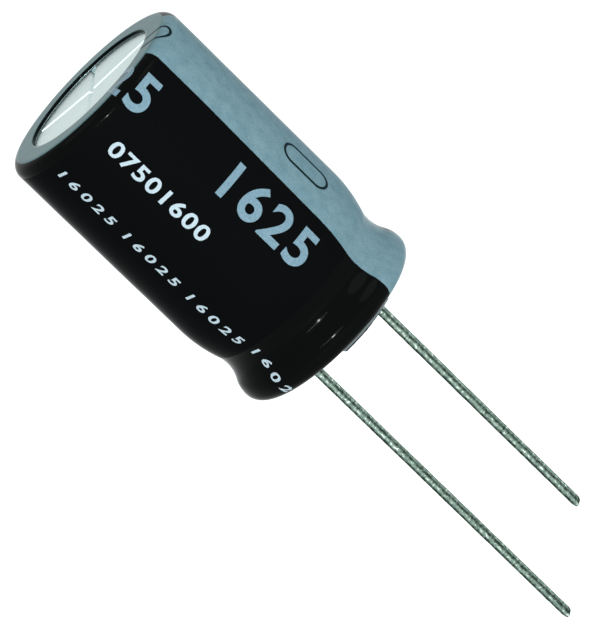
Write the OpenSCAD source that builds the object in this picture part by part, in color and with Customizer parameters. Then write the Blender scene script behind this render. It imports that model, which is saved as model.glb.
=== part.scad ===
/* [Can] */
// Outer diameter of the drawn can above the groove
can_d = 15.8; // [15:0.1:18]
// Height over the film, from the seat to the top
body_h = 25.6; // [22:0.1:40]
// Wall of the can
can_wall = 0.38; // [0.3:0.01:0.45]
// Thickness of the can's closed end
top_t = 0.5; // [0.45:0.01:0.7]
// Outer radius of the corner round the closed end
corner_r = 0.67; // [0.6:0.01:1.2]

/* [Groove and curl] */
// Depth of the rolled groove that squeezes the seal
groove_depth = 0.67; // [0.4:0.01:0.9]
// Radius of the groove's hollow
groove_r = 3.48; // [2.8:0.02:4.4]
// Radius of the long shoulder that leads from the wall into the groove
shoulder_r = 11.2; // [10:0.1:14]
// Radius of the bead between the groove and the curl
bead_r = 2.04; // [1.6:0.02:2.8]
// How far the bead stands out past the wall
bead_swell = 0.03; // [0:0.01:0.15]
// Outer radius of the curled rim
curl_r = 0.77; // [0.7:0.01:1]
// How far round the rim curls, from straight down into the seal
curl_turn = 150; // [125:1:165]

/* [Vent] */
// Width of the flat rim between the can's side and the coined round
vent_rim = 2.15; // [1.6:0.05:3]
// Depth of the coined round
vent_sink = 0.03; // [0.02:0.01:0.15]
// Depth of the scored lines
score_depth = 0.24; // [0.12:0.01:0.28]
// Distance from the end of a scored line to the edge of the coined round
score_margin = 0.3; // [0.1:0.05:1.5]
// Directions of the scored lines, from the negative side
score_angles = [16, 106, 181, 284];

/* [Film sleeve] */
// Thickness of the shrunk film
film_t = 0.23; // [0.15:0.01:0.3]
// Width of the ring of film drawn in over the closed end
film_ring_w = 2.35; // [1.5:0.05:3]
// How far the film's lip reaches inward under the curl
lip_in = 0.4; // [0.1:0.05:0.6]
// How far the film's long cut edge hangs under the seat
flap_drop = 0.3; // [0.1:0.05:0.5]
// Direction in which the long cut edge starts
flap_from = -67; // [-80:1:-50]
// Angle that the long cut edge spans
flap_span = 43; // [10:1:60]

/* [Rubber seal] */
// Height of the seal
seal_h = 6; // [5.4:0.1:7]
// Height of the seal's outer face above the seat
seal_face = 0.45; // [0.3:0.05:0.6]

/* [Leads] */
// Distance between the centres of the leads
lead_pitch = 7.5; // [5:0.1:8]
// Diameter of the tinned wire
lead_d = 0.8; // [0.5:0.05:1]
// Length of the negative lead under the seat
negative_l = 23; // [10:0.5:35]
// Length of the positive lead under the seat
positive_l = 30; // [15:0.5:40]
// How far the weld between a wire and its tab lies inside the seal's outer face
weld_in = 0.05; // [0:0.05:1.5]
// Length of the wedge that the cutters leave at a lead's tip
shear_l = 0.5; // [0.2:0.05:1]
// Thickness of the wedge's edge
shear_edge = 0.25; // [0.1:0.05:0.4]

/* [Tabs] */
// Diameter of the tab's round stem
stem_d = 2.2; // [1.6:0.1:2.4]
// Length over which the stem narrows down to its weld
weld_taper = 0.9; // [0.4:0.1:2]
// How far the stem's round part stands above the seal
stem_proud = 0.1; // [0.05:0.05:0.3]
// Width of the flat blade
blade_w = 2.4; // [1.8:0.1:2.8]
// Thickness of the flat blade
blade_t = 0.25; // [0.2:0.01:0.35]
// Length of the blade inside the winding
blade_l = 12; // [8:0.5:13]

/* [Winding] */
// Diameter of the hole that the winding pin leaves
core_d = 2.4; // [2:0.1:3]
// Thickness of the etched anode foil
anode_t = 0.11; // [0.09:0.005:0.13]
// Thickness of the cathode foil
cathode_t = 0.06; // [0.04:0.005:0.08]
// Thickness of each separator paper
paper_t = 0.065; // [0.05:0.005:0.08]
// Thickness of the closing tape
tape_t = 0.06; // [0.04:0.005:0.08]
// How far the papers reach past each edge of the foils
foil_inset = 0.8; // [0.4:0.1:1.5]
// How far the tape stays inside each edge of the papers
tape_inset = 1.2; // [0.6:0.1:2.5]
// Angle over which the tape laps itself
tape_lap = 40; // [20:1:80]

/* [Clearances] */
// Gap between the film and the can
film_gap = 0.02; // [0.01:0.005:0.03]
// Gap between the seal and the can, and between the seal and the stems
seal_gap = 0.01; // [0.005:0.005:0.02]
// Gap between neighbouring layers of the winding
layer_gap = 0.008; // [0.005:0.001:0.012]
// Gap on each side of a tab's blade
blade_gap = 0.03; // [0.028:0.002:0.04]
// Least gap between the winding and the can's wall
wall_gap = 0.2; // [0.1:0.05:0.4]
// Gap between the seal and the winding
below_gap = 1.5; // [1.2:0.05:1.9]
// Gap between the winding and the can's closed end
above_gap = 0.35; // [0.2:0.05:0.8]

/* [Hidden] */
$fn = 72;
// A length that passes clear through whatever it cuts
through = 30;

// Section of the can, as centres of the arcs that run into each other
can_r = can_d / 2;
bead_out = can_r + bead_swell;
curl_x = bead_out - curl_r;
curl_z = film_t + film_gap + curl_r;
bead_x = bead_out - bead_r;
groove_x = can_r - groove_depth + groove_r;
shoulder_x = can_r - shoulder_r;
bead_rise = sqrt(pow(bead_r + groove_r, 2) - pow(groove_x - bead_x, 2));
shoulder_rise = sqrt(pow(shoulder_r + groove_r, 2) - pow(groove_x - shoulder_x, 2));
groove_z = curl_z + bead_rise;
shoulder_z = groove_z + shoulder_rise;
can_top = body_h - film_t - film_gap;

// Closed end, film opening and lip
film_hole_r = can_r + film_gap + film_t - film_ring_w;
vent_r = can_r - vent_rim;
vent_z = can_top - vent_sink;
lip_r = curl_x - lip_in;

// Seal and leads
seal_top = seal_face + seal_h;
seal_face_r = curl_x - curl_r * cos(180 - curl_turn) - seal_gap;
heel_r = curl_r - can_wall - seal_gap;
// The rim's own angle and the gap past its edge
rim_turn = curl_turn + asin(seal_gap / heel_r);
lead_x = lead_pitch / 2;
lead_r = lead_d / 2;
stem_r = stem_d / 2;
weld_z = seal_face + weld_in;

// Winding, counted in half turns: even ones are above the X axis, odd ones below it
core_r = core_d / 2;
layer_pitch = anode_t + cathode_t + 2 * paper_t + 4 * layer_gap;
inner_paper_at = 0;
cathode_at = paper_t + layer_gap;
outer_paper_at = cathode_at + cathode_t + layer_gap;
anode_at = outer_paper_at + paper_t + layer_gap;
pocket = blade_t + 2 * blade_gap;
blade_seat = lead_x - blade_t / 2 - blade_gap - core_r;
positive_turn = 2 * round((blade_seat - anode_at - anode_t) / layer_pitch);
negative_turn = 2 * round((blade_seat - cathode_at - cathode_t) / layer_pitch) - 1;
winding_r = can_r - can_wall - wall_gap;
turn_room = winding_r - 2 * tape_t - layer_gap - layer_pitch - pocket - core_r;
half_turns = 2 * floor(turn_room / layer_pitch);
positive_blade_r = core_r + positive_turn * layer_pitch / 2 + anode_at + anode_t + blade_gap;
negative_blade_r = core_r + (negative_turn + 1) * layer_pitch / 2 + cathode_at + cathode_t + blade_gap;
tape_r = core_r + (half_turns + 1) * layer_pitch / 2 + pocket + layer_gap;
winding_z = seal_top + below_gap;
winding_top = can_top - top_t - above_gap;
neck_z = seal_top + stem_proud;
neck_top = winding_z - blade_gap;

// Inside half turn k, the radius of a layer that starts at distance start in its pitch
// Layers past a tab's pocket are pushed out on that tab's side only
function layer_r(k, start, past) =
    core_r + k * layer_pitch / 2 + start
    + (k > positive_turn + 1 ? pocket / 2 : 0) + (k > past ? pocket / 2 : 0);
function layer_x(k, past) =
    (k % 2 == 0 ? 0 : layer_pitch / 2)
    - (k > positive_turn + 1 ? pocket / 2 : 0) + (k > past ? pocket / 2 : 0);

// Height at which the bead's arc hands over to the groove's, on a section set in by inset
function bead_join(inset) = curl_z + (bead_r - inset) * bead_rise / (bead_r + groove_r);
// Height at which the groove's arc hands over to the long shoulder's
function shoulder_join(inset) =
    shoulder_z - (shoulder_r - inset) * shoulder_rise / (shoulder_r + groove_r);

// A slice of the half plane right of the axis, between two heights
module slab(from, to, reach) {
    polygon([[0, from], [reach, from], [reach, to], [0, to]]);
}

// Round corner of the section, with the slab that backs it
module rounded_slab(from, to, x, z, r) {
    slab(from, to, x);
    intersection() {
        slab(from, to, through);
        translate([x, z])
            circle(r = r);
    }
}

// Everything inside the can's outer surface above the curl, set in by inset and by end_inset at the top
module blank(inset, end_inset) {
    wall_top = can_top - end_inset - (corner_r - inset);
    rounded_slab(curl_z, bead_join(inset), bead_x, curl_z, bead_r - inset);
    difference() {
        slab(bead_join(inset), shoulder_join(inset), groove_x);
        translate([groove_x, groove_z])
            circle(r = groove_r + inset);
    }
    intersection() {
        slab(shoulder_join(inset), shoulder_z, through);
        translate([shoulder_x, shoulder_z])
            circle(r = shoulder_r - inset);
    }
    slab(shoulder_z, wall_top, can_r - inset);
    rounded_slab(wall_top, can_top - end_inset, can_r - corner_r, wall_top, corner_r - inset);
}

// Strip of metal or film bent round the curl's centre, from upright to turn degrees
module curled(inner, outer, turn) {
    // Far enough out for the wedge's straight sides to pass outside the strip
    reach = 2 * outer;
    translate([curl_x, curl_z])
        intersection() {
            difference() {
                circle(r = outer);
                circle(r = inner);
            }
            polygon(concat(
                [[0, 0]],
                [for (i = [0 : 3]) reach * [cos(turn * i / 3), -sin(turn * i / 3)]]
            ));
        }
}

module sleeve() {
    inner = curl_r + film_gap;
    outer = inner + film_t;
    color("#101316") {
        rotate_extrude()
            union() {
                difference() {
                    blank(-film_gap - film_t, -film_gap - film_t);
                    blank(-film_gap, -film_gap);
                    slab(0, body_h + through, film_hole_r);
                }
                curled(inner, outer, 90);
                translate([lip_r, 0])
                    square([curl_x - lip_r, film_t]);
            }
        // The film was cut a little long here, so its edge stands down instead of lying flat
        rotate([0, 0, flap_from])
            rotate_extrude(angle = flap_span)
                translate([curl_x - film_t, -flap_drop])
                    square([film_t, flap_drop + film_t]);
    }
}

// One scored line of the vent, a right-angled V that starts at the middle
module score() {
    side = score_depth * sqrt(2);
    translate([0, 0, vent_z])
        rotate([45, 0, 0])
            translate([0, -side / 2, -side / 2])
                cube([vent_r - score_margin, side, side]);
}

module can() {
    color("#c9ccce")
        difference() {
            rotate_extrude()
                union() {
                    difference() {
                        blank(0, 0);
                        blank(can_wall, top_t);
                    }
                    curled(curl_r - can_wall, curl_r, curl_turn);
                }
            translate([0, 0, vent_z])
                cylinder(r = vent_r, h = through);
            for (a = score_angles)
                rotate([0, 0, a])
                    score();
        }
}

module seal_section() {
    difference() {
        union() {
            intersection() {
                blank(can_wall + seal_gap, top_t);
                slab(0, seal_top, through);
            }
            slab(curl_z - heel_r, curl_z, curl_x);
            slab(seal_face, curl_z, seal_face_r);
            intersection() {
                slab(0, curl_z, through);
                translate([curl_x, curl_z])
                    circle(r = heel_r);
            }
        }
        curled(heel_r, curl_r + seal_gap, rim_turn);
    }
}

module end_seal() {
    color("#1c1c1e")
        difference() {
            rotate_extrude()
                seal_section();
            for (side = [-1, 1])
                translate([side * lead_x, 0, 0])
                    cylinder(r = stem_r + seal_gap, h = through);
        }
}

// Half of a ring of the winding, above the X axis or below it
module half_ring(x, r, t, above) {
    translate([x, 0])
        intersection() {
            difference() {
                circle(r = r + t);
                circle(r = r);
            }
            translate([-through, above ? 0 : -through])
                square([2 * through, through]);
        }
}

// A strip wound from half turn first to half turn last, past being the half turn after which
// the negative tab's pocket pushes it out
module strip(start, t, first, last, past, inset) {
    translate([0, 0, winding_z + inset])
        linear_extrude(winding_top - winding_z - 2 * inset)
            for (k = [first : last])
                half_ring(layer_x(k, past), layer_r(k, start, past), t, k % 2 == 0);
}

// The papers are the longest, then the cathode, so that the anode is covered on both sides
module inner_separator() {
    color("#cdb88c")
        strip(inner_paper_at, paper_t, 0, half_turns - 1, negative_turn + 1, 0);
}

module cathode_foil() {
    color("#b9bcc0")
        strip(cathode_at, cathode_t, 1, half_turns - 2, negative_turn + 1, foil_inset);
}

module outer_separator() {
    color("#c4ae80")
        strip(outer_paper_at, paper_t, 0, half_turns - 1, negative_turn - 1, 0);
}

module anode_foil() {
    color("#8e9194")
        strip(anode_at, anode_t, 2, half_turns - 3, negative_turn - 1, foil_inset);
}

module winding_tape() {
    color("#a8752c")
        translate([layer_pitch / 2, 0, winding_z + tape_inset])
            linear_extrude(winding_top - winding_z - 2 * tape_inset)
                union() {
                    difference() {
                        circle(r = tape_r + tape_t);
                        circle(r = tape_r);
                    }
                    intersection() {
                        difference() {
                            circle(r = tape_r + 2 * tape_t);
                            circle(r = tape_r + tape_t / 2);
                        }
                        polygon([
                            [0, 0],
                            through * [cos(tape_lap), -sin(tape_lap)],
                            [through, 0]
                        ]);
                    }
                }
}

// Aluminium tab: a round stem, narrowed to its weld at one end and pressed flat at the other
// into a blade that is curved to the winding. It is drawn on the positive X side, with its
// blade's inner radius r
module tab(r) {
    half_angle = asin(blade_w / 2 / r);
    blade_top = winding_z + blade_l;
    neck_h = neck_top - neck_z;
    blade_z = neck_z + neck_h / 2;
    hollow = r * (1 - cos(half_angle));
    rotate([90, 0, 0])
        translate([0, 0, -stem_r])
            intersection() {
                translate([lead_x, 0, stem_r])
                    rotate([-90, 0, 0])
                        rotate_extrude()
                            polygon([
                                [0, weld_z],
                                [lead_r, weld_z],
                                [stem_r, weld_z + weld_taper],
                                [stem_r, neck_top],
                                [0, neck_top]
                            ]);
                linear_extrude(stem_d)
                    polygon([
                        [lead_x - stem_r, weld_z],
                        [lead_x + stem_r, weld_z],
                        [lead_x + stem_r, neck_z],
                        [r + blade_t, neck_top],
                        [r - hollow, neck_top],
                        [lead_x - stem_r, neck_z]
                    ]);
            }
    translate([0, 0, blade_z])
        rotate([0, 0, -half_angle])
            rotate_extrude(angle = 2 * half_angle)
                translate([r, 0])
                    square([blade_t, blade_top - blade_z]);
}

module positive_tab() {
    color("#d4d6d8")
        rotate([0, 0, 180])
            tab(positive_blade_r);
}

module negative_tab() {
    color("#d4d6d8")
        tab(negative_blade_r);
}

// Tinned wire from its weld down to a tip that the cutters left as a wedge
module lead(length) {
    tip = lead_r - shear_edge / 2;
    translate([lead_x, 0, -length])
        difference() {
            cylinder(r = lead_r, h = length + weld_z);
            for (side = [0, 180])
                rotate([0, 0, side])
                    rotate([90, 0, 0])
                        translate([0, 0, -lead_d])
                            linear_extrude(2 * lead_d)
                                polygon([
                                    [shear_edge / 2, -shear_l],
                                    [shear_edge / 2, 0],
                                    [shear_edge / 2 + tip, shear_l],
                                    [lead_d, shear_l],
                                    [lead_d, -shear_l]
                                ]);
        }
}

module positive_lead() {
    color("#aab4ae")
        rotate([0, 0, 180])
            lead(positive_l);
}

module negative_lead() {
    color("#aab4ae")
        lead(negative_l);
}

sleeve();
can();
end_seal();
anode_foil();
cathode_foil();
inner_separator();
outer_separator();
winding_tape();
positive_tab();
negative_tab();
positive_lead();
negative_lead();
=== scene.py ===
import math

import bmesh
import bpy
from mathutils import Matrix, Vector, noise


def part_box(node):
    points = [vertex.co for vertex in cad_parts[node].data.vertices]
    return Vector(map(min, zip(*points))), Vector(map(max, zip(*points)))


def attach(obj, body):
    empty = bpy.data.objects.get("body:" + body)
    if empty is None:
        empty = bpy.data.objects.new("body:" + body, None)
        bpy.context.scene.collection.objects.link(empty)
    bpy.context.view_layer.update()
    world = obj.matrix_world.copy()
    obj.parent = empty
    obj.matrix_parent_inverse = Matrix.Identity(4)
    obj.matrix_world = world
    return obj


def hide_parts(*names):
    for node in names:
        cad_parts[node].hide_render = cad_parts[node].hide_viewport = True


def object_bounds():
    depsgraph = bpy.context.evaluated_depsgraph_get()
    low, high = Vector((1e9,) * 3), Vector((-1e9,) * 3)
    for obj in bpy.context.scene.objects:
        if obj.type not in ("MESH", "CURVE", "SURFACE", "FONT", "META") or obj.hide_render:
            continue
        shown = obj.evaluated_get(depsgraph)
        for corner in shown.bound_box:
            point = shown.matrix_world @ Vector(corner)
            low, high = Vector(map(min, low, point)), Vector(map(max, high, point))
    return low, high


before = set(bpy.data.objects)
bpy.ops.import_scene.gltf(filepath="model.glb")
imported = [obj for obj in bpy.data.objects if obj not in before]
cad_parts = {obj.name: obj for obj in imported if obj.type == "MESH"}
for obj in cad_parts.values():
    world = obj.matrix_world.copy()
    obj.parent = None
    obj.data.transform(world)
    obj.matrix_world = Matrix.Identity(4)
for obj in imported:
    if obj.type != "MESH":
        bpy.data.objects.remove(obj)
cad_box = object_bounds()


# Anode and cathode foils
# Two strips of aluminium, wound together with the papers. Acid etching leaves a fine grey tooth
# that scatters the light, deeper and darker on the anode than on the cathode.
MM = 0.001


def linear(colour):
    """Turns an sRGB hex colour into the linear one that a socket takes."""
    parts = [int(colour[i:i + 2], 16) / 255 for i in (1, 3, 5)]
    return [*(c / 12.92 if c <= 0.04045 else ((c + 0.055) / 1.055) ** 2.4 for c in parts), 1.0]


def add(tree, kind, sockets=None, **settings):
    """Adds one node with its settings. sockets gives each input a value, or an output to link."""
    made = tree.nodes.new(kind)
    for name, value in settings.items():
        setattr(made, name, value)
    for name, value in (sockets or {}).items():
        if isinstance(value, bpy.types.NodeSocket):
            tree.links.new(value, made.inputs[name])
        else:
            made.inputs[name].default_value = value
    return made


def new_material(name):
    """An empty material, as (material, node tree, place in the frame)."""
    made = bpy.data.materials.new(name)
    made.use_nodes = True
    made.node_tree.nodes.clear()
    place = add(made.node_tree, "ShaderNodeTexCoord").outputs["Object"]
    return made, made.node_tree, place


def etched_aluminium(name, pit, ridge, pit_mm):
    """Acid-etched foil: pits take the mirror off, so it is a dull even grey. Drawn coarse to show."""
    made, tree, place = new_material(name)
    pits = add(tree, "ShaderNodeTexNoise", {
        "Vector": place, "Scale": 1 / (pit_mm * MM), "Detail": 4.0})
    tone = add(tree, "ShaderNodeMix", {
        0: pits.outputs["Fac"], 6: linear(pit), 7: linear(ridge)}, data_type="RGBA")
    tooth = add(tree, "ShaderNodeBump", {"Height": pits.outputs["Fac"], "Distance": 0.01 * MM})
    skin = add(tree, "ShaderNodeBsdfPrincipled", {
        "Base Color": tone.outputs[2], "Metallic": 1.0, "Roughness": 0.62, "Normal": tooth.outputs[0]})
    add(tree, "ShaderNodeOutputMaterial", {"Surface": skin.outputs[0]})
    return made


def dress(node_name, material):
    """Gives a CAD node its finish."""
    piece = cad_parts[node_name]
    piece.data.materials.clear()
    piece.data.materials.append(material)


dress("anode_foil", etched_aluminium("anode_etched_aluminium", "#6f7274", "#93979a", 0.08))
dress("cathode_foil", etched_aluminium("cathode_etched_aluminium", "#9da0a3", "#c2c5c8", 0.05))


# Separator papers
# Two strips of kraft paper soaked in electrolyte, which keep the foils apart and reach past both
# of their edges. The fibres lie along the strip, which runs round the winding.
def soaked_kraft(name, fibre_mm):
    """Wet kraft paper: long fibres show as slightly darker and glossier streaks."""
    made, tree, place = new_material(name)
    squeezed = add(tree, "ShaderNodeMapping", {"Vector": place, "Scale": (1.0, 1.0, 6.0)})
    fibres = add(tree, "ShaderNodeTexNoise", {
        "Vector": squeezed.outputs[0], "Scale": 1 / (fibre_mm * MM), "Detail": 5.0})
    tone = add(tree, "ShaderNodeMix", {
        0: fibres.outputs["Fac"], 6: linear("#9c8350"), 7: linear("#d2bb84")}, data_type="RGBA")
    felt = add(tree, "ShaderNodeBump", {"Height": fibres.outputs["Fac"], "Distance": 0.008 * MM})
    skin = add(tree, "ShaderNodeBsdfPrincipled", {
        "Base Color": tone.outputs[2], "Roughness": 0.55, "Normal": felt.outputs[0]})
    add(tree, "ShaderNodeOutputMaterial", {"Surface": skin.outputs[0]})
    return made


kraft = soaked_kraft("soaked_kraft_paper", 0.4)
for paper in ("inner_separator", "outer_separator"):
    dress(paper, kraft)


# Closing tape
# One turn of amber polypropylene film tape, which keeps the winding from springing open. It is
# stuck down on the outer paper and laps itself.
def film_tape(name, haze_mm):
    """Cast film tape: glossy, with the cloudy patches that a wet surface under it gives."""
    made, tree, place = new_material(name)
    haze = add(tree, "ShaderNodeTexNoise", {
        "Vector": place, "Scale": 1 / (haze_mm * MM), "Detail": 2.0})
    tone = add(tree, "ShaderNodeMix", {
        0: haze.outputs["Fac"], 6: linear("#8d5a1c"), 7: linear("#b8802f")}, data_type="RGBA")
    skin = add(tree, "ShaderNodeBsdfPrincipled", {
        "Base Color": tone.outputs[2], "Roughness": 0.22, "IOR": 1.49})
    add(tree, "ShaderNodeOutputMaterial", {"Surface": skin.outputs[0]})
    return made


dress("winding_tape", film_tape("amber_film_tape", 3.0))


# Tabs
# Pure aluminium wire, pressed flat where it lies against its foil and left round where the rubber
# grips it. The press leaves a bright skin with fine marks across it.
def pressed_aluminium(name, mark_mm):
    """Pressed aluminium: bright, with shallow marks across the length from the tool."""
    made, tree, place = new_material(name)
    across = add(tree, "ShaderNodeMapping", {"Vector": place, "Scale": (0.2, 0.2, 1.0)})
    marks = add(tree, "ShaderNodeTexNoise", {
        "Vector": across.outputs[0], "Scale": 1 / (mark_mm * MM), "Detail": 3.0})
    rough = add(tree, "ShaderNodeMapRange", {
        "Value": marks.outputs["Fac"], "To Min": 0.24, "To Max": 0.42})
    dents = add(tree, "ShaderNodeBump", {"Height": marks.outputs["Fac"], "Distance": 0.006 * MM})
    skin = add(tree, "ShaderNodeBsdfPrincipled", {
        "Base Color": linear("#d4d7d8"), "Metallic": 1.0, "Roughness": rough.outputs[0],
        "Normal": dents.outputs[0]})
    add(tree, "ShaderNodeOutputMaterial", {"Surface": skin.outputs[0]})
    return made


pressed = pressed_aluminium("pressed_aluminium", 0.12)
for tab in ("positive_tab", "negative_tab"):
    dress(tab, pressed)


# Rubber seal
# A moulded disc of hard black rubber. The rolled groove squeezes its side and the curled rim bites
# into its face, which is what you see between the leads from below.
def moulded_rubber(name, grain_mm, patch_mm):
    """Moulded rubber: matt, with the mould's fine grain and faint paler bloom in patches."""
    made, tree, place = new_material(name)
    grain = add(tree, "ShaderNodeTexNoise", {
        "Vector": place, "Scale": 1 / (grain_mm * MM), "Detail": 6.0})
    bloom = add(tree, "ShaderNodeTexNoise", {
        "Vector": place, "Scale": 1 / (patch_mm * MM), "Detail": 3.0})
    tone = add(tree, "ShaderNodeMix", {
        0: bloom.outputs["Fac"], 6: linear("#1b1b1d"), 7: linear("#2c2c2e")}, data_type="RGBA")
    rough = add(tree, "ShaderNodeMapRange", {
        "Value": grain.outputs["Fac"], "To Min": 0.55, "To Max": 0.8})
    tooth = add(tree, "ShaderNodeBump", {"Height": grain.outputs["Fac"], "Distance": 0.02 * MM})
    skin = add(tree, "ShaderNodeBsdfPrincipled", {
        "Base Color": tone.outputs[2], "Roughness": rough.outputs[0], "IOR": 1.52,
        "Normal": tooth.outputs[0]})
    add(tree, "ShaderNodeOutputMaterial", {"Surface": skin.outputs[0]})
    return made


dress("end_seal", moulded_rubber("moulded_rubber", 0.12, 2.5))


# Can
# Deep-drawn aluminium, one piece with its closed end. The end is coined a little lower inside its
# rim and scored with a cross, so that it tears open if pressure builds up.
steep_normal_z, level_normal_z = 0.25, 0.5
steep_wall_rough = 0.5


def drawn_aluminium(name, scuff_mm, cloud_mm):
    """Drawn and coined aluminium: a satin mirror with faint clouds, rougher on its steep walls and
    painted darker there as shade.
    """
    made, tree, place = new_material(name)
    clouds = add(tree, "ShaderNodeTexNoise", {
        "Vector": place, "Scale": 1 / (cloud_mm * MM), "Detail": 3.0})
    scuffs = add(tree, "ShaderNodeTexNoise", {
        "Vector": place, "Scale": 1 / (scuff_mm * MM), "Detail": 5.0})
    satin = add(tree, "ShaderNodeMix", {
        0: clouds.outputs["Fac"], 6: linear("#b2c9c8"), 7: linear("#c8dddb")}, data_type="RGBA")
    # The steep walls, round the vent and along its scored lines, are where the punch sheared the metal:
    # they are rougher there, and painted darker as shade.
    normal = add(tree, "ShaderNodeNewGeometry").outputs["Normal"]
    facing = add(tree, "ShaderNodeSeparateXYZ", {"Vector": normal})
    level = add(tree, "ShaderNodeMath", {0: facing.outputs["Z"]}, operation="ABSOLUTE")
    flat = add(tree, "ShaderNodeMapRange", {
        "Value": level.outputs[0], "From Min": steep_normal_z, "From Max": level_normal_z})
    # Painted shade: the steep walls are mixed towards the darker grey.
    tone = add(tree, "ShaderNodeMix", {
        0: flat.outputs[0], 6: linear("#6f7e80"), 7: satin.outputs[2]}, data_type="RGBA")
    scuffed = add(tree, "ShaderNodeMapRange", {
        "Value": scuffs.outputs["Fac"], "To Min": 0.22, "To Max": 0.32})
    rough = add(tree, "ShaderNodeMix", {
        0: flat.outputs[0], 2: steep_wall_rough, 3: scuffed.outputs[0]})
    dents = add(tree, "ShaderNodeBump", {"Height": scuffs.outputs["Fac"], "Distance": 0.0006 * MM})
    skin = add(tree, "ShaderNodeBsdfPrincipled", {
        "Base Color": tone.outputs[2], "Metallic": 1.0, "Roughness": rough.outputs[0],
        "Normal": dents.outputs[0]})
    add(tree, "ShaderNodeOutputMaterial", {"Surface": skin.outputs[0]})
    return made


dress("can", drawn_aluminium("drawn_aluminium", 0.4, 4.0))


# Leads
# Copper-clad steel wire, dipped in tin and welded to the tabs level with the seal's face. The tin
# sets in slight ripples, and the cutters leave each tip as a wedge.
wire_r = 0.4
wire_sides = 40
wire_ring_step = 0.09
wire_ripple = 0.011
wire_ripple_mm = (0.35, 0.9)
shear_l = 0.5
shear_edge = 0.25
die_lines = 5
die_start_deg = 30
die_wander_mm = 0.8
die_wander_rad = 2.0
die_weight = 0.17


def tinned_wire(name, x_mm, blotch_mm, grain_mm):
    """Dipped tin: greenish grey, with die lines along the wire and pale spots painted in as glints
    where the pattern runs highest.

    Real die lines are finer, and are drawn few and broad enough to show.
    """
    made, tree, place = new_material(name)
    parts = add(tree, "ShaderNodeSeparateXYZ", {"Vector": place})
    across = add(tree, "ShaderNodeMath", {0: parts.outputs["X"], 1: x_mm * MM}, operation="SUBTRACT")
    turn = add(tree, "ShaderNodeMath", {
        0: parts.outputs["Y"], 1: across.outputs[0]}, operation="ARCTAN2")
    drawn = add(tree, "ShaderNodeMapping", {"Vector": place, "Scale": (1.0, 1.0, 0.12)})
    wander = add(tree, "ShaderNodeTexNoise", {
        "Vector": drawn.outputs[0], "Scale": 1 / (die_wander_mm * MM), "Detail": 2.0})
    start = add(tree, "ShaderNodeMath", {
        0: wander.outputs["Fac"], 1: die_wander_rad,
        2: math.radians(die_start_deg) - die_wander_rad / 2}, operation="MULTIPLY_ADD")
    angle = add(tree, "ShaderNodeMath", {
        0: turn.outputs[0], 1: die_lines, 2: start.outputs[0]}, operation="MULTIPLY_ADD")
    line = add(tree, "ShaderNodeMath", {0: angle.outputs[0]}, operation="COSINE")
    blotches = add(tree, "ShaderNodeTexNoise", {
        "Vector": place, "Scale": 1 / (blotch_mm * MM), "Detail": 4.0, "Roughness": 0.6})
    both = add(tree, "ShaderNodeMath", {
        0: line.outputs[0], 1: die_weight, 2: blotches.outputs["Fac"]}, operation="MULTIPLY_ADD")
    contrast = add(tree, "ShaderNodeMapRange", {
        "Value": both.outputs[0], "From Min": 0.3, "From Max": 0.74})
    tin_tone = add(tree, "ShaderNodeMix", {
        0: contrast.outputs[0], 6: linear("#29362f"), 7: linear("#869b90")}, data_type="RGBA")
    # Painted highlight: where die line and blotch run highest, the tin turns near white.
    painted_glints = add(tree, "ShaderNodeMapRange", {
        "Value": both.outputs[0], "From Min": 0.7, "From Max": 0.8})
    tone = add(tree, "ShaderNodeMix", {
        0: painted_glints.outputs[0], 6: tin_tone.outputs[2], 7: linear("#d4e2da")}, data_type="RGBA")
    grain = add(tree, "ShaderNodeTexNoise", {
        "Vector": place, "Scale": 1 / (grain_mm * MM), "Detail": 3.0})
    rough = add(tree, "ShaderNodeMapRange", {
        "Value": contrast.outputs[0], "To Min": 0.45, "To Max": 0.26})
    skin_bump = add(tree, "ShaderNodeBump", {"Height": grain.outputs["Fac"], "Distance": 0.05 * MM})
    skin = add(tree, "ShaderNodeBsdfPrincipled", {
        "Base Color": tone.outputs[2], "Metallic": 1.0, "Roughness": rough.outputs[0],
        "Specular Tint": linear("#5a6b62"), "Normal": skin_bump.outputs[0]})
    add(tree, "ShaderNodeOutputMaterial", {"Surface": skin.outputs[0]})
    return made


def shaped(name, mesh, materials, *nodes):
    """Turns a bmesh in millimetres into a smooth piece that stands for those CAD nodes."""
    bmesh.ops.recalc_face_normals(mesh, faces=mesh.faces)
    bmesh.ops.scale(mesh, vec=(MM, MM, MM), verts=mesh.verts)
    data = bpy.data.meshes.new(name)
    mesh.to_mesh(data)
    mesh.free()
    for material in materials:
        data.materials.append(material)
    for face in data.polygons:
        face.use_smooth = True
    piece = bpy.data.objects.new(name, data)
    bpy.context.scene.collection.objects.link(piece)
    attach(piece, "root")
    if nodes:
        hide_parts(*nodes)
    return piece


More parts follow.
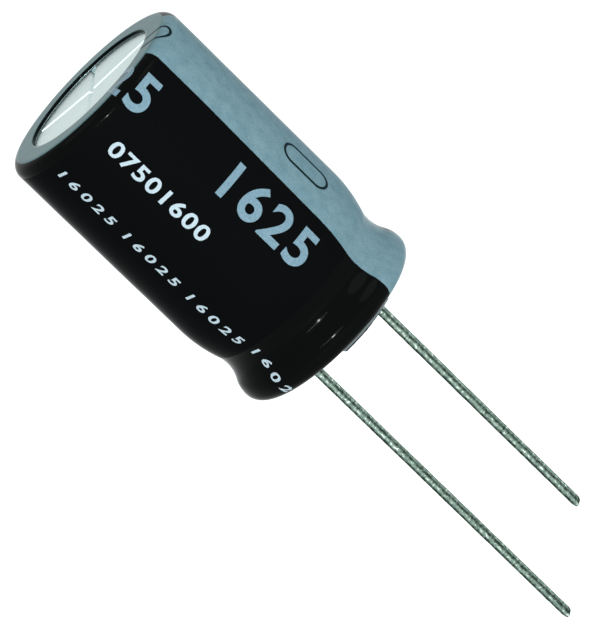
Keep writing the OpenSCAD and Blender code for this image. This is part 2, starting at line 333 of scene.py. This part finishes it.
def tinned_lead(name, node_name):
    """A wire as long as its CAD node, rippled by the tin, with its end cut to a wedge."""
    low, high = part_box(node_name)
    x, tip, top = (low.x + high.x) / 2 / MM, low.z / MM, high.z / MM
    steps = round((top - tip) / wire_ring_step)
    mesh = bmesh.new()
    rings = []
    for i in range(steps + 1):
        z = tip + (top - tip) * i / steps
        half = min(wire_r, shear_edge / 2 + (wire_r - shear_edge / 2) * (z - tip) / shear_l)
        ring = []
        for k in range(wire_sides):
            turn = 2 * math.pi * k / wire_sides
            across = Vector((math.cos(turn), math.sin(turn), 0)) * wire_r
            at = Vector((x + across.x, across.y, z))
            swell = sum(noise.noise(at / size) for size in wire_ripple_mm)
            across *= 1 - wire_ripple * (1 - swell) / wire_r
            ring.append(mesh.verts.new((x + max(-half, min(half, across.x)), across.y, z)))
        rings.append(ring)
    for lower, upper in zip(rings, rings[1:]):
        for k in range(wire_sides):
            n = (k + 1) % wire_sides
            mesh.faces.new((lower[k], lower[n], upper[n], upper[k]))
    mesh.faces.new(rings[0])
    mesh.faces.new(rings[-1])
    piece = shaped(name, mesh, [tinned_wire(f"{name}_dipped_tin", x, 0.24, 0.22)], node_name)
    return piece


tinned_lead("positive_wire", "positive_lead")
tinned_lead("negative_wire", "negative_lead")


# Film sleeve
# A tube of black film, shrunk on with heat after the can is closed. It follows the groove and the
# curl, is drawn in over the closed end as a ring, and was cut a little long at the seat.
film_t = 0.23
film_r = 8.15
ink_lift = 0.012
# The ink lies on the film, so the film's own top is that much lower than the solid's.
film_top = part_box("sleeve")[1].z / MM - ink_lift
corner_r = 0.92
corner_x, wall_top = film_r - corner_r, film_top - corner_r
ring_hole_r = 5.8
# The film's outside follows the can's curl, bead, groove and shoulder, which are arcs that meet
# without a corner. Each has its centre and its radius.
curl_x, curl_z, curl_r = 7.16, 1.02, 1.02
bead_x, bead_r = 5.89, 2.29
groove_x, groove_r = 10.71, 3.23
shoulder_x, shoulder_r = -3.3, 11.45
lip_r = 6.76
bead_rise = math.sqrt((bead_r + groove_r) ** 2 - (groove_x - bead_x) ** 2)
shoulder_rise = math.sqrt((shoulder_r + groove_r) ** 2 - (groove_x - shoulder_x) ** 2)
groove_z = curl_z + bead_rise
shoulder_z = groove_z + shoulder_rise
bead_turn = math.degrees(math.atan2(bead_rise, groove_x - bead_x))
shoulder_turn = math.degrees(math.atan2(shoulder_rise, groove_x - shoulder_x))
groove_top = shoulder_z - shoulder_r * math.sin(math.radians(shoulder_turn))
# The ring starts that far round the top corner, where the stripe's colour gives way to the ring's teal
# grey, which is painted reflection.
ring_from_deg = 74.0
film_sides = 360
wall_steps, ring_steps = 40, 10
shrink_mm, shrink_waves_round, shrink_waves_along = 0.010, 3, 0.35
hole_wave_mm, hole_wave_reach, hole_waves = 0.06, 0.9, 2.2
# Half the stripe's width at two heights, since the tube shrinks a little unevenly.
stripe_low_z, stripe_low_deg = 1.0, 25.0
stripe_high_z, stripe_high_deg = 20.5, 22.3
ragged_mm, ragged_deg = 0.18, 0.5
ink_ends_deg, ink_whole_deg = 0.35, 0.15
print_dot_mm, print_dot_weight, print_cloud_mm = 0.13, 0.9, 0.9
peel_mm = 1.3
# The cut edge stands below the curl as a short flap, which fades out towards the stripe.
flap_from_deg, flap_to_deg, flap_drop = -67.0, -24.0, 0.28
flap_steps, flap_fade_deg = 86, 24.0
flap_start_deg, flap_rise_deg = 0.7, 2.2
flap_rim, flap_wave_mm, flap_waves = 0.04, 0.015, 40
fray_mm, fray_depth_mm = 0.3, 0.06
black_below_z, pale_above_z = -0.17, -0.1
wall_finish, bend_finish, ring_finish, cut_finish = range(4)


def arc(x, z, r, start, end, steps):
    """Points of an arc from start to end degrees, without its first one."""
    turns = [math.radians(start + (end - start) * i / steps) for i in range(1, steps + 1)]
    return [(x + r * math.cos(t), z + r * math.sin(t)) for t in turns]


def film_line(inset):
    """The film's section from the lip up to the ring's hole, set in by inset from its outside."""
    flat = film_top - inset
    wall = [(film_r - inset, shoulder_z + (wall_top - shoulder_z) * i / wall_steps)
            for i in range(1, wall_steps + 1)]
    ring_in = [(corner_x + (ring_hole_r - corner_x) * i / ring_steps, flat)
               for i in range(1, ring_steps + 1)]
    return [
        (lip_r, inset), (curl_x - (curl_x - lip_r) / 2, inset), (curl_x, inset),
        *arc(curl_x, curl_z, curl_r - inset, -90, 0, 14),
        *arc(bead_x, curl_z, bead_r - inset, 0, bead_turn, 12),
        *arc(groove_x, groove_z, groove_r + inset, 180 + bead_turn, 180 - shoulder_turn, 18),
        *arc(shoulder_x, shoulder_z, shoulder_r - inset, -shoulder_turn, 0, 16),
        *wall,
        *arc(corner_x, wall_top, corner_r - inset, 0, 90, 16),
        *ring_in,
    ]


def printed_film(name, ior, bare, ink_dark, ink_light, low_deg, high_deg):
    """Glossy black film, printed with grey ink to that many degrees from its negative side.

    The ink is mottled and its edge ragged. Both are drawn a little coarse, so that they show.
    """
    made, tree, place = new_material(name)
    parts = add(tree, "ShaderNodeSeparateXYZ", {"Vector": place})
    turn = add(tree, "ShaderNodeMath", {
        0: parts.outputs["Y"], 1: parts.outputs["X"]}, operation="ARCTAN2")
    away = add(tree, "ShaderNodeMath", {0: turn.outputs[0]}, operation="ABSOLUTE")
    ragged = add(tree, "ShaderNodeTexNoise", {
        "Vector": place, "Scale": 1 / (ragged_mm * MM), "Detail": 3.0})
    nudge = add(tree, "ShaderNodeMath", {
        0: ragged.outputs["Fac"], 1: math.radians(ragged_deg), 2: away.outputs[0]},
        operation="MULTIPLY_ADD")
    edge = add(tree, "ShaderNodeMapRange", {
        "Value": parts.outputs["Z"], "From Min": stripe_low_z * MM, "From Max": stripe_high_z * MM,
        "To Min": math.radians(low_deg), "To Max": math.radians(high_deg)})
    past = add(tree, "ShaderNodeMath", {
        0: nudge.outputs[0], 1: edge.outputs[0]}, operation="SUBTRACT")
    printed = add(tree, "ShaderNodeMapRange", {
        "Value": past.outputs[0], "From Min": math.radians(ink_ends_deg),
        "From Max": math.radians(ink_whole_deg)})
    dots = add(tree, "ShaderNodeTexNoise", {
        "Vector": place, "Scale": 1 / (print_dot_mm * MM), "Detail": 2.0})
    clouds = add(tree, "ShaderNodeTexNoise", {
        "Vector": place, "Scale": 1 / (print_cloud_mm * MM), "Detail": 6.0})
    mottle = add(tree, "ShaderNodeMath", {
        0: dots.outputs["Fac"], 1: print_dot_weight, 2: clouds.outputs["Fac"]},
        operation="MULTIPLY_ADD")
    uneven = add(tree, "ShaderNodeMapRange", {
        "Value": mottle.outputs[0], "From Min": 0.4, "From Max": 1.5})
    ink = add(tree, "ShaderNodeMix", {
        0: uneven.outputs[0], 6: linear(ink_dark), 7: linear(ink_light)}, data_type="RGBA")
    tone = add(tree, "ShaderNodeMix", {
        0: printed.outputs[0], 6: linear(bare), 7: ink.outputs[2]}, data_type="RGBA")
    peel = add(tree, "ShaderNodeTexNoise", {
        "Vector": place, "Scale": 1 / (peel_mm * MM), "Detail": 2.0})
    skin_bump = add(tree, "ShaderNodeBump", {"Height": peel.outputs["Fac"], "Distance": 0.004 * MM})
    skin = add(tree, "ShaderNodeBsdfPrincipled", {
        "Base Color": tone.outputs[2], "Roughness": 0.09, "IOR": ior, "Normal": skin_bump.outputs[0]})
    add(tree, "ShaderNodeOutputMaterial", {"Surface": skin.outputs[0]})
    return made


def cut_film():
    """Film that was bent and cut: a pale band painted at the bend as reflection, black again at its
    edge.
    """
    made, tree, place = new_material("cut_black_film")
    parts = add(tree, "ShaderNodeSeparateXYZ", {"Vector": place})
    frayed = add(tree, "ShaderNodeTexNoise", {
        "Vector": place, "Scale": 1 / (fray_mm * MM), "Detail": 3.0})
    height = add(tree, "ShaderNodeMath", {
        0: frayed.outputs["Fac"], 1: fray_depth_mm * MM, 2: parts.outputs["Z"]},
        operation="MULTIPLY_ADD")
    # Painted reflection: above this height the flap turns pale grey.
    painted_reflection_band = add(tree, "ShaderNodeMapRange", {
        "Value": height.outputs[0], "From Min": black_below_z * MM, "From Max": pale_above_z * MM})
    tone = add(tree, "ShaderNodeMix", {
        0: painted_reflection_band.outputs[0], 6: linear("#0d0e0f"), 7: linear("#6b7678")}, data_type="RGBA")
    skin = add(tree, "ShaderNodeBsdfPrincipled", {
        "Base Color": tone.outputs[2], "Roughness": 0.35, "IOR": 1.15})
    add(tree, "ShaderNodeOutputMaterial", {"Surface": skin.outputs[0]})
    return made


def film_zone(x, z):
    """Which finish that point of the film has: the wall, its bends, or the ring over the end."""
    if z > wall_top and math.degrees(math.atan2(z - wall_top, x - corner_x)) > ring_from_deg:
        return ring_finish
    return bend_finish if z > wall_top or z < groove_top else wall_finish


def film_sleeve():
    """The film as one closed shell, slightly uneven where it has shrunk, with its long cut edge."""
    outside, inside = film_line(0.0), film_line(film_t)
    section = outside + inside[::-1]
    mesh = bmesh.new()
    rings = []
    for k in range(film_sides):
        turn = 2 * math.pi * k / film_sides
        along = Vector((math.cos(turn), math.sin(turn), 0))
        ring = []
        for x, z in section:
            spot = Vector((along.x * shrink_waves_round, along.y * shrink_waves_round,
                           z * shrink_waves_along))
            uneven = shrink_mm * (noise.noise(spot) - 0.5)
            near_hole = max(0.0, 1 - (x - ring_hole_r) / hole_wave_reach) if z > wall_top else 0.0
            uneven += hole_wave_mm * near_hole * noise.noise(along * hole_waves + Vector((0, 0, 7)))
            ring.append(mesh.verts.new(along * (x + uneven) + Vector((0, 0, z))))
        rings.append(ring)
    for k, ring in enumerate(rings):
        beside = rings[(k + 1) % film_sides]
        for i in range(len(section)):
            n = (i + 1) % len(section)
            face = mesh.faces.new((ring[i], beside[i], beside[n], ring[n]))
            middle = [(section[i][j] + section[n][j]) / 2 for j in (0, 1)]
            face.material_index = film_zone(*middle) if n < len(outside) else bend_finish
    flap = []
    for k in range(flap_steps + 1):
        degrees = flap_from_deg + (flap_to_deg - flap_from_deg) * k / flap_steps
        turn = math.radians(degrees)
        along = Vector((math.cos(turn), math.sin(turn), 0))
        start = (degrees - flap_from_deg + flap_start_deg) / flap_rise_deg
        fade = 0.5 + 0.5 * (flap_to_deg - degrees) / flap_fade_deg
        rise = min(1, start, fade)
        low = -flap_drop * rise + flap_wave_mm * noise.noise(along * flap_waves)
        rim = flap_rim * rise
        flap_section = [
            (curl_x, film_t), (curl_x, low + rim), (curl_x - rim, low),
            (curl_x - film_t + rim, low), (curl_x - film_t, low + rim), (curl_x - film_t, film_t)]
        flap.append([mesh.verts.new(along * x + Vector((0, 0, z))) for x, z in flap_section])
    for here, beside in zip(flap, flap[1:]):
        for i in range(len(flap_section)):
            n = (i + 1) % len(flap_section)
            mesh.faces.new((here[i], beside[i], beside[n], here[n])).material_index = cut_finish
    mesh.faces.new(flap[0]).material_index = cut_finish
    mesh.faces.new(flap[-1][::-1]).material_index = cut_finish
    # The index is below real film's, since the studio is white all round and would grey the black.
    # It is higher on the bends, where the real film shows its lamps.
    grey = ("#52727c", "#7a969f")
    finishes = [
        printed_film("shrunk_black_film", 1.03, "#090a0b", *grey, stripe_low_deg, stripe_high_deg),
        printed_film("bent_black_film", 1.07, "#080909", *grey, stripe_low_deg, stripe_high_deg),
        # The ring's teal grey is a painted reflection of the white studio, laid over its real gloss.
        printed_film("ring_film_painted_reflection", 1.1, "#050606", "#41666a", "#5a7f82", 360, 360),
        cut_film()]
    piece = shaped("film_sleeve", mesh, finishes, "sleeve")
    return piece


film_sleeve()


# Printed marks
# Ink laid on the flat tube before it is shrunk on, so it wraps over the corner and into the
# groove. Rows of plain figures read down the can, and outlined bars mark the negative side.
cut_step = 0.2
widest_half_row = 4.0
ink_margin = 0.03
track = film_line(0.0)
track_s = [0.0]
for (x0, z0), (x1, z1) in zip(track, track[1:]):
    track_s.append(track_s[-1] + math.hypot(x1 - x0, z1 - z0))
wall_index = max(i for i, (x, z) in enumerate(track) if z <= wall_top + 1e-6)
to_height = track[wall_index][1] - track_s[wall_index]
track_s = [s + to_height for s in track_s]
ink_low, ink_high = track_s[3], track_s[-1] - ink_margin


def on_film(s, turn, lift):
    """The point at distance s up the film, which is the height on the straight wall."""
    i = max(1, next((k for k, t in enumerate(track_s) if t >= s), len(track_s) - 1))
    (x0, z0), (x1, z1) = track[i - 1], track[i]
    share = (s - track_s[i - 1]) / (track_s[i] - track_s[i - 1])
    run = Vector((x1 - x0, z1 - z0)).normalized()
    x = x0 + (x1 - x0) * share + run.y * lift
    z = z0 + (z1 - z0) * share - run.x * lift
    return Vector((x * math.cos(turn), x * math.sin(turn), z))


def lay_on(mesh, start, centre_deg):
    """Bends a flat bmesh onto the film: X reads down the can from start, Y is towards the stripe."""
    along, across = Vector((1, 0, 0)), Vector((0, 1, 0))
    for normal, low, high in ((along, start - ink_high, start - ink_low),
                              (across, -widest_half_row, widest_half_row)):
        for cut in range(round((high - low) / cut_step)):
            everything = mesh.verts[:] + mesh.edges[:] + mesh.faces[:]
            bmesh.ops.bisect_plane(mesh, geom=everything, plane_co=normal * (low + cut * cut_step),
                                   plane_no=normal)
    for edge, way in ((start - ink_low, 1), (start - ink_high, -1)):
        everything = mesh.verts[:] + mesh.edges[:] + mesh.faces[:]
        bmesh.ops.bisect_plane(mesh, geom=everything, plane_co=(edge, 0, 0), plane_no=(way, 0, 0),
                               clear_outer=True)
    for vert in mesh.verts:
        turn = math.radians(centre_deg) + vert.co.y / film_r
        vert.co = on_film(start - vert.co.x, turn, ink_lift)


def print_ink(name, ior, dark, light, dot_mm):
    """Roller-printed ink: a thin satin layer, with the roller's dots showing, drawn coarse."""
    made, tree, place = new_material(name)
    dots = add(tree, "ShaderNodeTexNoise", {
        "Vector": place, "Scale": 1 / (dot_mm * MM), "Detail": 3.0})
    tone = add(tree, "ShaderNodeMix", {
        0: dots.outputs["Fac"], 6: linear(dark), 7: linear(light)}, data_type="RGBA")
    skin = add(tree, "ShaderNodeBsdfPrincipled", {
        "Base Color": tone.outputs[2], "Roughness": 0.3, "IOR": ior})
    add(tree, "ShaderNodeOutputMaterial", {"Surface": skin.outputs[0]})
    return made


def figures(text, height, length, weight, slant, apart):
    """One row of plain figures as a flat bmesh, stretched evenly to that height and length."""
    curve = bpy.data.curves.new("figures", "FONT")
    curve.body = text
    curve.offset = weight
    curve.shear = slant
    curve.space_character = apart
    curve.resolution_u = 8
    shape = bpy.data.objects.new("figures", curve)
    bpy.context.scene.collection.objects.link(shape)
    bpy.context.view_layer.update()
    shown = shape.evaluated_get(bpy.context.evaluated_depsgraph_get())
    solid = bpy.data.meshes.new_from_object(shown)
    low = Vector([min(v.co[i] for v in solid.vertices) for i in (0, 1)])
    high = Vector([max(v.co[i] for v in solid.vertices) for i in (0, 1)])
    for v in solid.vertices:
        u = (v.co.x - low.x) / (high.x - low.x) * length
        v.co = (u, (v.co.y - low.y) / (high.y - low.y) * height - height / 2, 0)
    mesh = bmesh.new()
    mesh.from_mesh(solid)
    bpy.data.objects.remove(shape)
    bpy.data.curves.remove(curve)
    bpy.data.meshes.remove(solid)
    bmesh.ops.remove_doubles(mesh, verts=mesh.verts, dist=1e-5)
    return mesh


def print_row(name, text, size, shape, start, centre_deg, material):
    """One row of figures on the film. size is height and length; shape is weight, slant and spacing."""
    mesh = figures(text, *size, *shape)
    lay_on(mesh, start, centre_deg)
    piece = shaped(name, mesh, [material])
    return piece


grey_ink = print_ink("grey_print", 1.2, "#50707f", "#829daa", 0.16)
pale_ink = print_ink("pale_print", 1.2, "#93a8b2", "#bdccd4", 0.14)
mark_pitch = 16.2
small_pitch = 6.53
for copy in range(2):
    print_row(f"large_figures_{copy + 1}", "1625", (3.14, 8.4), (0.022, 0.0, 1.15),
              15.3 + copy * mark_pitch, -43.1, grey_ink)
print_row("middle_figures", "07501600", (1.3, 9.75), (0.025, 0.0, 1.15), 23.1, -73.0, pale_ink)
for copy in range(4):
    print_row(f"small_figures_{copy + 1}", "16025", (0.88, 5.4), (0.024, 0.1, 1.55),
              23.88 - copy * small_pitch, -105.0, pale_ink)


def outlined_bar(name, centre, length, width, line, centre_deg, material):
    """The line round a bar with round ends, laid on the stripe with its length along the can."""
    mesh = bmesh.new()
    end_steps = 24
    half = (length - width) / 2
    rings = []
    for grow in (-line / 2, line / 2):
        r = width / 2 + grow
        ring = []
        for x, from_deg in ((half, -90), (-half, 90)):
            for i in range(end_steps + 1):
                turn = math.radians(from_deg + 180 * i / end_steps)
                ring.append(mesh.verts.new((x + r * math.cos(turn), r * math.sin(turn), 0)))
        rings.append(ring)
    for i in range(len(rings[0])):
        n = (i + 1) % len(rings[0])
        mesh.faces.new((rings[0][i], rings[0][n], rings[1][n], rings[1][i]))
    lay_on(mesh, centre, centre_deg)
    piece = shaped(name, mesh, [material])
    return piece


dark_line = print_ink("bare_film_line", 1.05, "#0c181b", "#15272c", 0.12)
for copy in range(2):
    outlined_bar(f"minus_bar_{copy + 1}", 10.9 + copy * mark_pitch, 4.3, 1.8, 0.22, -2.1, dark_line)


# Floor and backdrop
# A plain pale sweep under the part. It shows white to the camera and in gloss, and keeps the
# shadow that the part throws on it.
floor_size = 3.0
floor_gap = 0.2
board_glow = 0.6


def seen(tree):
    """1 for what the camera, gloss or clear parts see, and 0 for the light that falls on things."""
    path = add(tree, "ShaderNodeLightPath")
    either = add(tree, "ShaderNodeMath", {
        0: path.outputs["Is Camera Ray"], 1: path.outputs["Is Glossy Ray"]}, operation="MAXIMUM")
    any_of_them = add(tree, "ShaderNodeMath", {
        0: either.outputs[0], 1: path.outputs["Is Transmission Ray"]}, operation="MAXIMUM")
    return any_of_them.outputs[0]


def pale_sweep():
    """Matt painted board: an even white that takes a soft shadow. From below it is see-through."""
    made, tree, place = new_material("pale_board")
    grain = add(tree, "ShaderNodeTexNoise", {"Vector": place, "Scale": 1 / (1.5 * MM), "Detail": 3.0})
    tone = add(tree, "ShaderNodeMix", {
        0: grain.outputs["Fac"], 6: linear("#f0f1f1"), 7: linear("#f5f6f6")}, data_type="RGBA")
    matt = add(tree, "ShaderNodeBsdfDiffuse", {"Color": tone.outputs[2]})
    glow_level = add(tree, "ShaderNodeMath", {0: seen(tree), 1: board_glow}, operation="MULTIPLY")
    glow = add(tree, "ShaderNodeEmission", {"Strength": glow_level.outputs[0]})
    board = add(tree, "ShaderNodeAddShader", {0: matt.outputs[0], 1: glow.outputs[0]})
    clear = add(tree, "ShaderNodeBsdfTransparent")
    side = add(tree, "ShaderNodeNewGeometry").outputs["Backfacing"]
    one_sided = add(tree, "ShaderNodeMixShader", {0: side, 1: board.outputs[0], 2: clear.outputs[0]})
    add(tree, "ShaderNodeOutputMaterial", {"Surface": one_sided.outputs[0]})
    return made


bpy.ops.mesh.primitive_plane_add(size=floor_size, location=(0, 0, cad_box[0].z - floor_gap * MM))
floor = bpy.context.object
floor.name = "floor"
floor.data.materials.append(pale_sweep())

world = bpy.data.worlds.new("studio")
bpy.context.scene.world = world
world.use_nodes = True
sky_tree = world.node_tree
sky_tree.nodes.clear()
fill = add(sky_tree, "ShaderNodeBackground", {"Color": linear("#dfeaec"), "Strength": 0.56})
white = add(sky_tree, "ShaderNodeBackground", {"Color": (1, 1, 1, 1), "Strength": 1.0})
sky = add(sky_tree, "ShaderNodeMixShader", {
    0: seen(sky_tree), 1: fill.outputs[0], 2: white.outputs[0]})
add(sky_tree, "ShaderNodeOutputWorld", {"Surface": sky.outputs[0]})


# Lamps
# A broad soft box overhead, a smaller one that the scored lines mirror, and one that fills the
# stripe's side. Small lamps and a strip give the bright points on the bead, in the groove and
# along the top corner.
can_middle_z = 13


def lamp(name, azimuth, elevation, distance, width, height, watts):
    """An oval lamp that shines at the middle of the can, in degrees and metres."""
    light = bpy.data.lights.new(name, "AREA")
    light.shape = "ELLIPSE"
    light.size = width
    light.size_y = height
    light.energy = watts
    made = bpy.data.objects.new(name, light)
    a, e = math.radians(azimuth), math.radians(elevation)
    way = Vector((math.cos(a) * math.cos(e), math.sin(a) * math.cos(e), math.sin(e)))
    made.location = Vector((0, 0, can_middle_z * MM)) + way * distance
    made.rotation_mode = "QUATERNION"
    made.rotation_quaternion = way.to_track_quat("Z", "Y")
    bpy.context.scene.collection.objects.link(made)
    return made


lamp("overhead_box", -20, 80, 0.6, 0.9, 0.9, 0.35)
lamp("scored_line_box", -145, 67, 0.6, 0.32, 0.32, 0.42)
lamp("key_lamp", -67.8, 8.8, 0.45, 0.03, 0.03, 1.15)
lamp("corner_strip", -70, 10, 0.45, 0.26, 0.012, 0.4)
lamp("side_lamp", 19, 14, 0.45, 0.03, 0.03, 0.13)
lamp("side_box", -6, 16, 0.45, 0.26, 0.2, 0.42)


# Camera
# It stands where the photograph was taken from, a third of a metre away with a long lens, and is
# turned so that the can lies across the picture.
picture_h_px = 627
focal_px = 4467.34
sensor_mm = 36.0
camera_at = Vector((158.279, -277.424, 88.844))
right = Vector((0.69689, 0.18460, -0.69301))
back = Vector((0.48139, -0.83668, 0.26122)).normalized()
right = (right - back * right.dot(back)).normalized()
up = back.cross(right)
lens = bpy.data.cameras.new("camera")
lens.sensor_fit = "VERTICAL"
lens.sensor_height = sensor_mm
lens.sensor_width = sensor_mm
lens.lens = focal_px * sensor_mm / picture_h_px
lens.clip_start = 0.01
lens.clip_end = 20.0
camera = bpy.data.objects.new("camera", lens)
turned = Matrix((right, up, back)).transposed().to_4x4()
camera.matrix_world = Matrix.Translation(camera_at * MM) @ turned
bpy.context.scene.collection.objects.link(camera)
bpy.context.scene.camera = camera
bpy.context.scene.view_settings.view_transform = "Standard"
